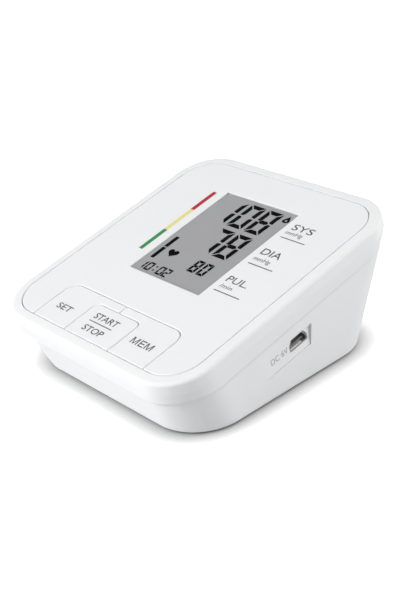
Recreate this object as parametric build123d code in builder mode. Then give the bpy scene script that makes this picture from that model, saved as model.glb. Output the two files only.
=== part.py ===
from build123d import *
import os
from math import atan2, cos, radians, sin, tan

# Desktop blood pressure monitor: a wedge housing whose face slopes up to the back.
# Millimetres. +X right, +Y back, +Z up, origin on the table under the housing's middle.

# Housing
face_slope = 12.1  # degrees, rising to the back
case_width = 114.0
case_length = 125.8  # measured up the slope
case_corner = 19.0
front_height = 28.7  # table to the face's front edge
face_y = -0.87  # the face's middle, set so that the housing's box is centred
rim_width = 5.0  # border between the face panel and the case's edge
rim_land = 4.2  # the border is level this far in, and falls away outside it
rim_drop = 0.3
shoulder_radius = 1.4
band_depth = 5.5  # upright band round the case, below the face
band_flare = 0.3
lip_depth = 9.6  # where the front band starts to roll under
lip_turn_depth = 10.8
lip_turn_in = 0.4
seam_depth = 11.5  # the two shells meet on a plane this far below the face
front_tuck = 1.5  # how far the front lip rolls in at the seam
seam_setback = 0.6  # the lower shell stands back under the front lip
base_side_lean = 3.6  # the base is this much narrower on each side
base_end_lean = 25.3  # and this much shorter than the slope
base_corner = 21.0
base_setback = 0.78  # the base's middle lies this far in front of the face's middle
base_edge_radius = 1.0
foot_stand = 1.0
wall = 2.0
base_floor = 2.0
roof = 1.8  # ledge under the face panel
seam_rabbet = 1.0
seam_lip_height = 1.5
fit_gap = 0.15
sink = 1.0  # how far joined ribs and posts reach into the shell that carries them
near = 0.01

# Face panel, window and keys, placed up the slope from the face's middle
panel_corner = 14.0
panel_thick = 1.5
panel_gap = 0.3
panel_chamfer = 0.25
pocket_chamfer = 0.2
edge_slope = 45.0  # degrees
window_width = 42.0
window_length = 58.3
window_x = 0.6
window_up = 12.25
lens_thick = 0.6
lens_gap = 0.1
key_group_width = 69.0
key_group_length = 21.9
key_group_corner = 5.3
middle_key_width = 27.1
middle_key_length = 17.5
middle_key_corner = 2.8
key_gap = 0.3
key_travel = 0.5
key_plate = 1.6
key_wall = 1.2
key_chamfer = 0.3
key_flange = 1.0
key_flange_reach = 1.0
key_post_radius = 2.2
key_post_in = 7.9  # from the panel's front edge

# Display
cell_side = 3.0  # the back glass reaches past the window at the sides
cell_end = 3.85
cell_glass = 1.1
cell_gap = 0.5
tray_border = 3.0
tray_wall = 1.6
tray_plate = 1.4
tray_rows = 3
zebra_side = 2.0
zebra_thick = 2.2
zebra_inset = 4.0

# Main board
board_side_margin = 12.5  # from the case's edge
board_front_margin = 5.9
board_back_margin = 13.9
board_corner = 12.0
board_thick = 1.6
board_depth = 8.0  # the board's top below the face
board_hole_gap = 0.7
board_boss_radius = 2.6
board_boss_side = 4.5  # from the board's edges
board_boss_front = 31.0
board_boss_back = 19.0
board_screw_radius = 1.1
board_screw_length = 6.0
board_screw_head = 2.3
board_screw_head_thick = 1.4
switch_size = 6.0
switch_height = 3.1
switch_floor = 0.4
switch_chamfer = 0.4
plunger_radius = 1.7
plunger_stand = 1.2
plunger_sunk = 2.0
running_gap = 0.05
processor_size = 10.0
processor_thick = 1.4
processor_chamfer = 0.3
processor_x = 12.0
buzzer_radius = 4.5
buzzer_thick = 4.0
buzzer_chamfer = 0.5
buzzer_hole_radius = 1.0
buzzer_x = -20.0
buzzer_up = 30.0

# Shell screws and their posts
post_radius = 3.8
boss_radius = 3.0
post_front_shift = 1.2
post_front_in = 9.8  # from the base's front edge
post_rear_side = 15.4
post_rear_in = 8.1
screw_radius = 1.2
screw_hole_radius = 1.4
screw_grip = 10.0  # lower shell held between the screw's head and the shells' meeting
screw_bite = 6.0
screw_head_radius = 2.5
screw_head_thick = 1.8
screw_sink_radius = 2.7

# Battery compartment
cell_count = 4
battery_radius = 7.1
battery_body = 49.3
battery_nub = 1.0
battery_nub_radius = 2.7
battery_chamfer = 0.6
battery_spacing = 14.6
battery_gap = 0.2
bay_side_gap = 0.3
contact_room = 2.4
contact_thick = 0.4
contact_height = 8.0
contact_plate_width = 11.0
leaf_reach = 4.6
bay_side = 36.9  # middle of the compartment from the base's right edge
bay_wall = 1.8
bay_rib_x = 14.0
bay_rib_thick = 1.2
bay_rib_height = 3.5
bay_rib_gap = 0.1
door_thick = 1.8
door_gap = 0.25
door_ledge = 1.0
door_tab_width = 8.0
door_tab_x = 15.0
door_tab_thick = 0.9
door_tab_reach = 1.5
door_tab_swing = 0.9
door_slot_width = 1.0
door_slot_length = 8.0
door_tongue_width = 14.0
door_rib_count = 4
door_rib_spacing = 1.6
door_rib_width = 0.7
door_rib_proud = 0.4
finger_width = 16.0
finger_length = 5.0
finger_depth = 1.2

# Air system
motor_radius = 11.0
motor_length = 25.0
motor_cap_radius = 5.0
motor_cap_length = 2.0
motor_chamfer = 1.0
pump_head_size = 22.0
pump_head_corner = 3.0
pump_head_length = 16.0
pump_plate_thick = 3.0
pump_plate_inset = 0.8
sleeve_thick = 1.0
sleeve_inset = 2.0
sleeve_length = 20.0
cradle_thick = 1.6
cradle_inset = 2.0
air_y = -25.0
air_z = 11.0
nipple_radius = 1.2
bore_radius = 0.6
nipple_length = 3.0
tube_outer = 2.25
tube_space = 3.0  # between the tee's and the pump's nipples
socket_space = 0.7
tube_seat = 0.3  # left between a tube's end and the body its nipple stands on
tee_size = 6.0
valve_length = 10.0
valve_width = 7.0
valve_height = 10.0
valve_space = 0.7
valve_chamfer = 0.6
valve_cap_radius = 3.2
valve_cap_length = 1.5
valve_tray_wall = 1.0
valve_tray_height = 2.5
sensor_size = 9.0
sensor_height = 5.0
sensor_port = 2.0
socket_bore = 2.5
socket_bore_depth = 12.0
socket_end = 1.2
socket_lead = 0.4
socket_body_radius = 4.0
socket_collar_radius = 5.2
socket_collar_thick = 1.5
socket_proud = 0.6
socket_nut_radius = 6.5
socket_nut_thick = 2.0
socket_boss_size = 15.0
socket_boss_depth = 3.5  # from the wall's outside to the boss's flat inner face

# Power socket in the right wall
power_y = 1.2
power_depth = 20.6
power_width = 9.5
power_height = 5.0
power_chamfer_width = 1.7
power_chamfer_height = 2.6
power_corner = 0.5
power_gap = 0.15
power_length = 8.2
power_shell = 0.35
power_shy = 0.2
power_recess_depth = 0.9
power_recess_draft = 5.0  # degrees by which its floor is more upright than the wall
power_recess_back = 6.6
power_recess_front = 16.8
power_recess_above = 3.7
power_recess_below = 5.8
power_tongue_width = 7.0
power_tongue_thick = 0.7
power_tongue_up = -0.9
power_block_length = 2.2
power_tongue_short = 0.9
power_board_width = 12.0
power_board_length = 6.6
power_board_thick = 1.2
power_rib_start = 0.6
power_rib_spacing = 3.6
power_rib_thick = 1.2
power_rib_width = 10.0

# Feet
foot_length = 16.0
foot_width = 5.0
foot_side = 26.4
foot_inset = 4.4
foot_sink = 0.6
foot_chamfer = 0.4

# The face plane
slope_sin = sin(radians(face_slope))
slope_cos = cos(radians(face_slope))
slope_tan = tan(radians(face_slope))
face_z = front_height + case_length / 2 * slope_sin
face = Plane(origin=(0, face_y, face_z), x_dir=(1, 0, 0), z_dir=(0, -slope_sin, slope_cos))
base_width = case_width - 2 * base_side_lean
base_length = case_length - base_end_lean
base_y = face_y - base_setback
floor_z = foot_stand + base_floor
panel_width = case_width - 2 * rim_width
panel_length = case_length - 2 * rim_width
panel_front = -panel_length / 2
roof_under = panel_thick + roof
key_top = panel_front + key_group_length
middle_top = panel_front + middle_key_length
side_key_x = (key_group_width + middle_key_width) / 4
key_post_up = panel_front + key_post_in
cell_width = window_width + 2 * cell_side
cell_length = window_length + 2 * cell_end
tray_width = cell_width + 2 * tray_border
tray_length = cell_length + 2 * tray_border
board_width = case_width - 2 * board_side_margin
board_length = case_length - board_front_margin - board_back_margin
board_up = (board_front_margin - board_back_margin) / 2
board_back = board_depth + board_thick
board_boss_x = board_width / 2 - board_boss_side
board_boss_ups = (
    board_up - board_length / 2 + board_boss_front,
    board_up + board_length / 2 - board_boss_back,
)


def along_slope(y, z):
    return (y - face_y) * slope_cos + (z - face_z) * slope_sin


def above_face(y, z):
    return (z - face_z) * slope_cos - (y - face_y) * slope_sin


def height_at(y, level):
    return face_z + (y - face_y) * slope_tan + level / slope_cos


def wall_inset(level, half, base_reach, base_level):
    # A wall runs straight from the band's foot to the base.
    share = (level + band_depth) / (base_level + band_depth)
    return share * (half + band_flare - base_reach) - band_flare


def side_inset(level):
    return wall_inset(level, case_width / 2, base_width / 2, above_face(base_y, foot_stand))


def back_inset(level):
    back_y = base_y + base_length / 2
    back_reach_at_base = along_slope(back_y, foot_stand)
    return wall_inset(level, case_length / 2, back_reach_at_base, above_face(back_y, foot_stand))


def case_outline(level, side, front, back, corner):
    with BuildSketch(face.offset(level)) as outline:
        with Locations((0, (front - back) / 2)):
            RectangleRounded(case_width - 2 * side, case_length - front - back, corner)
    return outline.sketch


def shell_outline(level, front, inset, rise=0):
    side = side_inset(level) + inset
    back = back_inset(level) + inset
    corner = case_corner + band_flare - inset
    return case_outline(level + rise, side, front + inset, back, corner)


def base_outline(height, inset):
    with BuildSketch(Plane.XY.offset(height)) as outline:
        with Locations((0, base_y)):
            RectangleRounded(base_width - 2 * inset, base_length - 2 * inset, base_corner - inset)
    return outline.sketch


def level_edges(edges, level):
    return edges.filter_by(lambda edge: abs(above_face(edge.center().Y, edge.center().Z) - level) < near)


def wall_reach(y, z):
    # Half width of the lower shell's outside at a height
    seam_half = case_width / 2 - side_inset(-seam_depth)
    share = (z - foot_stand) / (height_at(y, -seam_depth) - foot_stand)
    return base_width / 2 + share * (seam_half - base_width / 2)


seam_front = front_tuck + seam_setback
post_front_x = (key_group_width + base_width) / 4 - post_front_shift
post_front_y = base_y - base_length / 2 + post_front_in
post_rear_x = base_width / 2 - post_rear_side
post_rear_y = base_y + base_length / 2 - post_rear_in
post_rows = ((post_front_x, post_front_y), (post_rear_x, post_rear_y))

# Upper shell: border, shoulder, upright band and rolled front lip in one loft
with BuildPart() as top_case:
    loft(
        sections=[
            case_outline(0, rim_land, rim_land, rim_land, case_corner - rim_land),
            case_outline(-rim_drop, 0, 0, 0, case_corner),
            case_outline(-band_depth, -band_flare, -band_flare, -band_flare, case_corner + band_flare),
            shell_outline(-lip_depth, -band_flare, 0),
            shell_outline(-lip_turn_depth, lip_turn_in, 0),
            shell_outline(-seam_depth, front_tuck, 0),
        ],
        ruled=True,
    )
    fillet(level_edges(top_case.edges(), -rim_drop), radius=shoulder_radius)
    loft(
        sections=[
            case_outline(-roof_under, wall, wall, wall, case_corner - wall),
            shell_outline(-lip_depth, -band_flare, wall),
            shell_outline(-seam_depth, front_tuck, wall),
        ],
        ruled=True,
        mode=Mode.SUBTRACT,
    )
    rabbet_outline = shell_outline(-seam_depth, front_tuck, seam_rabbet)
    extrude(rabbet_outline, amount=seam_lip_height + fit_gap, mode=Mode.SUBTRACT)
    # Pocket for the face panel
    with BuildSketch(face):
        RectangleRounded(
            panel_width + 2 * panel_gap, panel_length + 2 * panel_gap, panel_corner + panel_gap
        )
    extrude(amount=-panel_thick, mode=Mode.SUBTRACT)
    pocket_edge = panel_gap + pocket_chamfer
    with BuildSketch(face):
        RectangleRounded(
            panel_width + 2 * pocket_edge, panel_length + 2 * pocket_edge, panel_corner + pocket_edge
        )
    extrude(amount=-pocket_chamfer, taper=edge_slope, mode=Mode.SUBTRACT)
    # Openings for the display and the keys
    with BuildSketch(face):
        with Locations((window_x, window_up)):
            Rectangle(cell_width + 2 * cell_gap, cell_length + 2 * cell_gap)
        with Locations((0, panel_front - panel_gap)):
            Rectangle(
                key_group_width + 2 * key_gap,
                key_group_length + panel_gap + key_gap,
                align=(Align.CENTER, Align.MIN),
            )
    extrude(amount=-roof_under, mode=Mode.SUBTRACT)
    # Bosses for the board's screws
    with BuildSketch(face.offset(-roof_under)):
        for up in board_boss_ups:
            with Locations((-board_boss_x, up), (board_boss_x, up)):
                Circle(board_boss_radius)
    extrude(amount=-(board_depth - roof_under))
    with BuildSketch(face.offset(-board_depth)):
        for up in board_boss_ups:
            with Locations((-board_boss_x, up), (board_boss_x, up)):
                Circle(board_screw_radius)
    extrude(amount=board_screw_length - board_thick, mode=Mode.SUBTRACT)
    # Bosses that meet the lower shell's posts
    for x, y in post_rows:
        meet = height_at(y, -seam_depth)
        with BuildSketch(Plane.XY.offset(meet)):
            with Locations((-x, y), (x, y)):
                Circle(boss_radius)
        extrude(amount=height_at(y, -panel_thick - roof / 2) - meet)
        with BuildSketch(Plane.XY.offset(meet)):
            with Locations((-x, y), (x, y)):
                Circle(screw_radius)
        extrude(amount=screw_bite, mode=Mode.SUBTRACT)
top_case.part.label = "top_case"

bay_length = battery_body + battery_nub + 2 * contact_room
bay_width = cell_count * battery_spacing + 2 * bay_side_gap
bay_x = base_width / 2 - bay_side
bay_y = base_y
battery_z = foot_stand + door_thick + battery_gap + battery_radius
bay_roof_z = battery_z + battery_radius + battery_gap
bay_left = bay_x - bay_length / 2
bay_right = bay_x + bay_length / 2
bay_front = bay_y - bay_width / 2
bay_back = bay_y + bay_width / 2
door_edge_y = bay_back + door_ledge - door_gap
power_z = height_at(power_y, -power_depth)
power_wall_x = wall_reach(power_y, power_z)
power_lean = atan2(power_wall_x - base_width / 2, power_z - foot_stand) - radians(power_recess_draft)
power_recess_floor = Plane(
    origin=(power_wall_x - power_recess_depth, power_y, power_z),
    x_dir=(0, 1, 0),
    z_dir=(cos(power_lean), 0, -sin(power_lean)),
)
power_front_x = power_wall_x - power_recess_depth - power_shy
power_back_x = power_front_x - power_length
power_rib_xs = (power_back_x + power_rib_start, power_back_x + power_rib_start + power_rib_spacing)
sleeve_radius = motor_radius + running_gap + sleeve_thick
pump_x = (bay_left - bay_wall + wall - base_width / 2) / 2
pump_z = floor_z + fit_gap + sleeve_radius
pump_front_y = air_y + tee_size / 2 + 2 * nipple_length + tube_space
motor_start = pump_front_y + pump_head_length
sleeve_start = motor_start + sleeve_inset
socket_x = -wall_reach(air_y, air_z) - socket_proud
socket_end_x = socket_x + socket_bore_depth + socket_end
socket_boss_x = socket_x + socket_proud + socket_boss_depth
tee_x = socket_end_x + 2 * nipple_length + socket_space + tee_size / 2
tee_left = tee_x - tee_size / 2
tee_front = air_y - tee_size / 2
valve_back = tee_front - 2 * nipple_length - valve_space
valve_y = valve_back - valve_length / 2
valve_bottom = air_z - valve_height / 2


def port_plane(x):
    # Stands across the power socket, with its own X up the slope
    return Plane(origin=(x, power_y, power_z), x_dir=(0, slope_cos, slope_sin), z_dir=(1, 0, 0))


def port_shape(x, grow):
    half_width = power_width / 2 + grow
    half_height = power_height / 2 + grow
    with BuildSketch(port_plane(x)) as shape:
        with BuildLine():
            Polyline(
                (-half_width, -half_height),
                (half_width, -half_height),
                (half_width, half_height - power_chamfer_height),
                (half_width - power_chamfer_width, half_height),
                (power_chamfer_width - half_width, half_height),
                (-half_width, half_height - power_chamfer_height),
                close=True,
            )
        make_face()
        fillet(shape.vertices(), power_corner)
    return shape.sketch


# Lower shell: leaning walls lofted from the sloping seam down to the level base
with BuildPart() as bottom_case:
    loft(sections=[shell_outline(-seam_depth, seam_front, 0), base_outline(foot_stand, 0)], ruled=True)
    fillet(bottom_case.edges().group_by(Axis.Z)[0], radius=base_edge_radius)
    extrude(shell_outline(-seam_depth, front_tuck, seam_rabbet + fit_gap), amount=seam_lip_height)
    loft(
        sections=[
            shell_outline(-seam_depth, front_tuck, wall, seam_lip_height),
            shell_outline(-seam_depth, seam_front, wall),
            base_outline(floor_z, wall),
        ],
        ruled=True,
        mode=Mode.SUBTRACT,
    )
    # Screw posts
    for x, y in post_rows:
        meet = height_at(y, -seam_depth)
        with BuildSketch(Plane.XY.offset(floor_z - sink)):
            with Locations((-x, y), (x, y)):
                Circle(post_radius)
        extrude(amount=meet - floor_z + sink)
        with BuildSketch(Plane.XY.offset(foot_stand)):
            with Locations((-x, y), (x, y)):
                Circle(screw_hole_radius)
        extrude(amount=meet - foot_stand, mode=Mode.SUBTRACT)
        with BuildSketch(Plane.XY.offset(foot_stand)):
            with Locations((-x, y), (x, y)):
                Circle(screw_sink_radius)
        extrude(amount=meet - screw_grip - foot_stand, mode=Mode.SUBTRACT)
    # Cradle ribs under the pump's sleeve
    rib_left = pump_x - sleeve_radius - cradle_inset
    for rib_y in (sleeve_start + cradle_inset, sleeve_start + sleeve_length - cradle_inset - cradle_thick):
        with BuildSketch(Plane.XZ.offset(-rib_y)):
            with Locations((rib_left, floor_z - sink)):
                Rectangle(
                    bay_left - rib_left,
                    pump_z - floor_z + sink,
                    align=(Align.MIN, Align.MIN),
                )
            with Locations((pump_x, pump_z)):
                Circle(sleeve_radius + fit_gap, mode=Mode.SUBTRACT)
        extrude(amount=-cradle_thick)
    # Tray for the release valve
    with BuildSketch(Plane.XY.offset(floor_z - sink)):
        with Locations((tee_x, valve_y)):
            Rectangle(
                valve_width + 2 * (fit_gap + valve_tray_wall),
                valve_length + 2 * (fit_gap + valve_tray_wall),
            )
    extrude(amount=valve_bottom + valve_tray_height - floor_z + sink)
    with BuildSketch(Plane.XY.offset(valve_bottom)):
        with Locations((tee_x, valve_y)):
            Rectangle(valve_width + 2 * fit_gap, valve_length + 2 * fit_gap)
    extrude(amount=valve_tray_height, mode=Mode.SUBTRACT)
    # Battery compartment with scalloped ribs under its roof
    with BuildSketch(Plane.XY.offset(floor_z - sink)):
        with Locations((bay_x, bay_y)):
            Rectangle(bay_length + 2 * bay_wall, bay_width + 2 * bay_wall)
    extrude(amount=bay_roof_z + bay_wall - floor_z + sink)
    with BuildSketch(Plane.XY.offset(foot_stand)):
        with Locations((bay_x, bay_y)):
            Rectangle(bay_length, bay_width)
    extrude(amount=bay_roof_z - foot_stand, mode=Mode.SUBTRACT)
    for rib_x in (bay_x - bay_rib_x, bay_x + bay_rib_x):
        with BuildSketch(Plane.YZ.offset(rib_x)):
            with Locations((bay_y, bay_roof_z + sink)):
                Rectangle(bay_width, bay_rib_height + sink, align=(Align.CENTER, Align.MAX))
            with Locations((bay_y, battery_z)):
                with GridLocations(battery_spacing, battery_spacing, cell_count, 1):
                    Circle(battery_radius + bay_rib_gap, mode=Mode.SUBTRACT)
        extrude(amount=bay_rib_thick)
    # Seat, hinge slots and finger ramp for the battery door
    with BuildSketch(Plane.XY.offset(foot_stand)):
        with Locations((bay_x, bay_y)):
            Rectangle(bay_length + 2 * door_ledge, bay_width + 2 * door_ledge)
    extrude(amount=door_thick, mode=Mode.SUBTRACT)
    tab_foot = foot_stand + door_thick - door_tab_thick - running_gap
    with BuildSketch(Plane.XY.offset(tab_foot)):
        with Locations((bay_x - door_tab_x, bay_back), (bay_x + door_tab_x, bay_back)):
            Rectangle(
                door_tab_width + 2 * door_gap,
                door_ledge + door_tab_reach,
                align=(Align.CENTER, Align.MIN),
            )
    extrude(amount=door_tab_thick + door_tab_swing, mode=Mode.SUBTRACT)
    with BuildSketch(Plane.YZ.offset(bay_x - finger_width / 2)):
        with BuildLine():
            Polyline(
                (bay_front - door_ledge, foot_stand),
                (bay_front - door_ledge, foot_stand + finger_depth),
                (bay_front - door_ledge - finger_length, foot_stand),
                close=True,
            )
        make_face()
    extrude(amount=finger_width, mode=Mode.SUBTRACT)
    # Power socket: ribs for its board, outer recess and opening
    for rib_x in power_rib_xs:
        with BuildSketch(Plane.YZ.offset(rib_x)):
            rib_top = -power_depth - power_height / 2 - power_board_thick
            with BuildLine():
                Polyline(
                    (power_y - power_rib_width / 2, floor_z - sink),
                    (power_y + power_rib_width / 2, floor_z - sink),
                    (power_y + power_rib_width / 2, height_at(power_y + power_rib_width / 2, rib_top)),
                    (power_y - power_rib_width / 2, height_at(power_y - power_rib_width / 2, rib_top)),
                    close=True,
                )
            make_face()
        extrude(amount=power_rib_thick)
    with BuildSketch(power_recess_floor):
        with BuildLine():
            Polyline(
                (-power_recess_front, -power_recess_below - power_recess_front * slope_tan),
                (power_recess_back, -power_recess_below + power_recess_back * slope_tan),
                (power_recess_back, power_recess_above + power_recess_back * slope_tan),
                (-power_recess_front, power_recess_above - power_recess_front * slope_tan),
                close=True,
            )
        make_face()
    extrude(amount=2 * power_recess_depth, mode=Mode.SUBTRACT)
    extrude(
        port_shape(power_wall_x - wall - 2 * power_recess_depth, power_gap),
        amount=2 * (wall + power_recess_depth),
        mode=Mode.SUBTRACT,
    )
    # Boss and stepped hole for the air socket
    boss_foot = air_z - socket_boss_size / 2
    boss_head = air_z + socket_boss_size / 2
    with BuildSketch(Plane.XZ.offset(-air_y - socket_boss_size / 2)):
        with BuildLine():
            Polyline(
                (socket_boss_x, boss_foot),
                (socket_boss_x, boss_head),
                (sink - wall_reach(air_y, boss_head), boss_head),
                (sink - wall_reach(air_y, boss_foot), boss_foot),
                close=True,
            )
        make_face()
    extrude(amount=socket_boss_size)
    with BuildSketch(Plane.YZ.offset(socket_boss_x)):
        with Locations((air_y, air_z)):
            Circle(socket_body_radius + fit_gap)
    extrude(amount=socket_x - socket_boss_x - sink, mode=Mode.SUBTRACT)
    with BuildSketch(Plane.YZ.offset(socket_x + socket_collar_thick)):
        with Locations((air_y, air_z)):
            Circle(socket_collar_radius + fit_gap)
    extrude(amount=-2 * socket_collar_thick, mode=Mode.SUBTRACT)
    # Pockets for the feet
    with BuildSketch(Plane.XY.offset(foot_stand)):
        with Locations((0, base_y)):
            with GridLocations(base_width - 2 * foot_side, base_length - 2 * foot_inset, 2, 2):
                SlotOverall(foot_length + 2 * fit_gap, foot_width + 2 * fit_gap)
    extrude(amount=foot_sink, mode=Mode.SUBTRACT)
bottom_case.part.label = "bottom_case"


def key_block(width, top, corner, grow):
    # Rounded away from the case's front edge, square along it
    with BuildSketch(face) as block:
        with Locations((0, panel_front - grow)):
            Rectangle(width + 2 * grow, top - panel_front + 2 * grow, align=(Align.CENTER, Align.MIN))
        fillet(block.vertices().group_by(Axis.Y)[-1], corner + grow)
    return block.sketch_local


def side_key_outline(level, reach, inset=0):
    # The outer edges grow by the reach, edges beside other keys stay
    with BuildSketch(face.offset(level)) as outline:
        add(key_block(key_group_width, key_top, key_group_corner, reach))
        add(key_block(middle_key_width, middle_top, middle_key_corner, key_gap), mode=Mode.SUBTRACT)
        with Locations((0, panel_front)):
            Rectangle(middle_key_width + 2 * key_gap, middle_key_length, mode=Mode.SUBTRACT)
        with Locations((-key_gap / 2, panel_front)):
            Rectangle(
                key_group_width,
                4 * key_group_length,
                align=(Align.MIN, Align.CENTER),
                mode=Mode.SUBTRACT,
            )
        if inset:
            offset(amount=-inset, kind=Kind.INTERSECTION, mode=Mode.REPLACE)
    return outline.sketch


with BuildPart() as face_panel:
    with BuildSketch(face):
        RectangleRounded(panel_width, panel_length, panel_corner)
        add(key_block(key_group_width, key_top, key_group_corner, key_gap), mode=Mode.SUBTRACT)
        with Locations((window_x, window_up)):
            Rectangle(window_width, window_length, mode=Mode.SUBTRACT)
    extrude(amount=-panel_thick)
    chamfer(level_edges(face_panel.edges(), 0), length=panel_chamfer)
face_panel.part.label = "face_panel"

with BuildPart() as display_window:
    with BuildSketch(face):
        with Locations((window_x, window_up)):
            Rectangle(window_width - 2 * lens_gap, window_length - 2 * lens_gap)
    extrude(amount=-lens_thick)
display_window.part.label = "display_window"

# Display cell: a front glass in the panel's window on a larger back glass
with BuildPart() as display_cell:
    with BuildSketch(face.offset(-lens_thick - running_gap)):
        with Locations((window_x, window_up)):
            Rectangle(window_width - 2 * lens_gap, window_length - 2 * lens_gap)
    extrude(amount=lens_thick + running_gap - panel_thick)
    with BuildSketch(face.offset(-panel_thick)):
        with Locations((window_x, window_up)):
            Rectangle(cell_width, cell_length)
    extrude(amount=-cell_glass)
display_cell.part.label = "display_cell"

cell_back = panel_thick + cell_glass
zebra_up = window_up - cell_length / 2 + zebra_inset
pocket_front = zebra_up + zebra_thick / 2 + fit_gap + tray_wall
pocket_back = window_up + tray_length / 2 - tray_wall
pocket_length = (pocket_back - pocket_front + tray_wall) / tray_rows - tray_wall
pocket_width = (tray_width - 3 * tray_wall) / 2
with BuildPart() as display_tray:
    with BuildSketch(face.offset(-roof_under)):
        with Locations((window_x, window_up)):
            Rectangle(tray_width, tray_length)
    extrude(amount=roof_under - board_depth)
    with BuildSketch(face.offset(-roof_under)):
        with Locations((window_x, window_up)):
            Rectangle(cell_width, cell_length)
    extrude(amount=roof_under - cell_back)
    # Hollow back, ribs left between the pockets
    with BuildSketch(face.offset(-board_depth)):
        with Locations((window_x, (pocket_front + pocket_back) / 2)):
            with GridLocations(pocket_width + tray_wall, pocket_length + tray_wall, 2, tray_rows):
                Rectangle(pocket_width, pocket_length)
    extrude(amount=board_depth - roof_under - tray_plate, mode=Mode.SUBTRACT)
    # Slot for the rubber connector
    with BuildSketch(face.offset(-board_depth)):
        with Locations((window_x, zebra_up)):
            Rectangle(cell_width - 2 * (zebra_side - fit_gap), zebra_thick + 2 * fit_gap)
    extrude(amount=board_depth - cell_back, mode=Mode.SUBTRACT)
display_tray.part.label = "display_tray"

with BuildPart() as zebra_strip:
    with BuildSketch(face.offset(-board_depth)):
        with Locations((window_x, zebra_up)):
            Rectangle(cell_width - 2 * zebra_side, zebra_thick)
    extrude(amount=board_depth - cell_back)
zebra_strip.part.label = "zebra_strip"

# Keys: a cap with thin walls, a flange under the case's roof, a post over the switch
plunger_top = board_depth - switch_height - plunger_stand
flange_top = roof_under + fit_gap
key_depth = flange_top + key_flange
with BuildPart() as set_key:
    extrude(side_key_outline(0, 0), amount=-key_depth)
    chamfer(level_edges(set_key.edges(), 0), length=key_chamfer)
    extrude(side_key_outline(-flange_top, key_flange_reach), amount=-key_flange)
    extrude(side_key_outline(-key_depth, 0, key_wall), amount=key_depth - key_plate, mode=Mode.SUBTRACT)
    with BuildSketch(face.offset(-key_plate)):
        with Locations((-side_key_x, key_post_up)):
            Circle(key_post_radius)
    extrude(amount=key_plate - plunger_top)
set_key.part.label = "set_key"

with BuildPart() as mem_key:
    add(set_key.part)
    mirror(about=Plane.YZ, mode=Mode.REPLACE)
mem_key.part.label = "mem_key"

with BuildPart() as start_stop_key:
    with BuildSketch(face):
        add(key_block(middle_key_width, middle_top, middle_key_corner, 0))
    extrude(amount=-key_depth)
    chamfer(level_edges(start_stop_key.edges(), 0), length=key_chamfer)
    with BuildSketch(face.offset(-flange_top)):
        with Locations((0, panel_front - key_flange_reach)):
            Rectangle(middle_key_width, 2 * key_flange_reach, align=(Align.CENTER, Align.MIN))
    extrude(amount=-key_flange)
    with BuildSketch(face.offset(-key_depth)):
        add(key_block(middle_key_width, middle_top, middle_key_corner, -key_wall))
    extrude(amount=key_depth - key_plate, mode=Mode.SUBTRACT)
    with BuildSketch(face.offset(-key_plate)):
        with Locations((0, key_post_up)):
            Circle(key_post_radius)
    extrude(amount=key_plate - plunger_top)
start_stop_key.part.label = "start_stop_key"

# Key switches on the board, each with a sliding plunger
switches = []
for name, key_x in (("set", -side_key_x), ("start_stop", 0), ("mem", side_key_x)):
    with BuildPart() as switch_body:
        with BuildSketch(face.offset(-board_depth)):
            with Locations((key_x, key_post_up)):
                Rectangle(switch_size, switch_size)
        extrude(amount=switch_height)
        chamfer(level_edges(switch_body.edges(), switch_height - board_depth), length=switch_chamfer)
        with BuildSketch(face.offset(switch_floor - board_depth)):
            with Locations((key_x, key_post_up)):
                Circle(plunger_radius + running_gap)
        extrude(amount=switch_height, mode=Mode.SUBTRACT)
    switch_body.part.label = name + "_switch"
    with BuildPart() as plunger:
        with BuildSketch(face.offset(-plunger_top)):
            with Locations((key_x, key_post_up)):
                Circle(plunger_radius)
        extrude(amount=-plunger_stand - plunger_sunk)
    plunger.part.label = name + "_plunger"
    switches += [switch_body, plunger]

with BuildPart() as main_board:
    with BuildSketch(face.offset(-board_depth)):
        with Locations((0, board_up)):
            RectangleRounded(board_width, board_length, board_corner)
        for up in board_boss_ups:
            with Locations((-board_boss_x, up), (board_boss_x, up)):
                Circle(board_screw_radius + fit_gap, mode=Mode.SUBTRACT)
        for x, y in post_rows:
            hole_up = along_slope(y, height_at(y, -board_depth))
            with Locations((-x, hole_up), (x, hole_up)):
                Circle(boss_radius + board_hole_gap, mode=Mode.SUBTRACT)
    extrude(amount=-board_thick)
main_board.part.label = "main_board"

with BuildPart() as board_screws:
    for up in board_boss_ups:
        with BuildSketch(face.offset(-board_back)):
            with Locations((-board_boss_x, up), (board_boss_x, up)):
                Circle(board_screw_head)
        extrude(amount=-board_screw_head_thick)
        with BuildSketch(face.offset(-board_back)):
            with Locations((-board_boss_x, up), (board_boss_x, up)):
                Circle(board_screw_radius)
        extrude(amount=board_screw_length)
board_screws.part.label = "board_screws"

with BuildPart() as processor:
    with BuildSketch(face.offset(-board_back)):
        with Locations((processor_x, 0)):
            Rectangle(processor_size, processor_size)
    extrude(amount=-processor_thick)
    chamfer(level_edges(processor.edges(), -board_back - processor_thick), length=processor_chamfer)
processor.part.label = "processor"

with BuildPart() as buzzer:
    with BuildSketch(face.offset(-board_back)):
        with Locations((buzzer_x, buzzer_up)):
            Circle(buzzer_radius)
    extrude(amount=-buzzer_thick)
    chamfer(level_edges(buzzer.edges(), -board_back - buzzer_thick), length=buzzer_chamfer)
    with BuildSketch(face.offset(-board_back - buzzer_thick)):
        with Locations((buzzer_x, buzzer_up)):
            Circle(buzzer_hole_radius)
    extrude(amount=buzzer_thick / 2, mode=Mode.SUBTRACT)
buzzer.part.label = "buzzer"


# Power socket: a metal shell round a contact tongue, on its own small board
tongue_start = power_back_x + power_shell + power_block_length
with BuildPart() as power_socket:
    extrude(port_shape(power_back_x, 0), amount=power_front_x - power_back_x)
    extrude(
        port_shape(power_back_x + power_shell, -power_shell),
        amount=power_front_x - power_back_x,
        mode=Mode.SUBTRACT,
    )
power_socket.part.label = "power_socket"

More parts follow.
